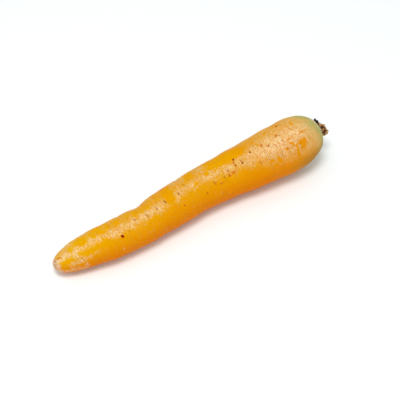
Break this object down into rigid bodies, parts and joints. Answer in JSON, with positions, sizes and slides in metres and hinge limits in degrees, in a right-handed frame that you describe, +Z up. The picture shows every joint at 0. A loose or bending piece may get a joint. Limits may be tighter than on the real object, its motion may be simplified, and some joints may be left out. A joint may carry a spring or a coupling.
{
  "type": "carrot",
  "caption": "Whole fresh yellow carrot lying on its side: blunt tip, slightly bent tapering root, broad sunken crown with dried leaf-stalk stubs.",
  "frame": {"origin": "on the floor under the middle of the carrot's overall box, as it lies", "axes": "+X along the root from its tip to its crown, +Z up from the floor, +Y to the far side"},
  "size_m": [0.2026, 0.034, 0.0349],
  "materials": {
    "root_skin": "fresh carrot skin, saturated yellow-orange under a thin pale dried bloom, satin where bare",
    "dried_stalk": "dry fibrous tan leaf-stalk bases, torn ends, matt",
    "blackened_stalk": "withered, blackened leaf-stalk base, matt"
  },
  "bodies": {
    "root": {"taproot": "root_skin", "leaf_stubs": "dried_stalk", "leaf_stub_dark": "blackened_stalk"}
  },
  "joints": []
}
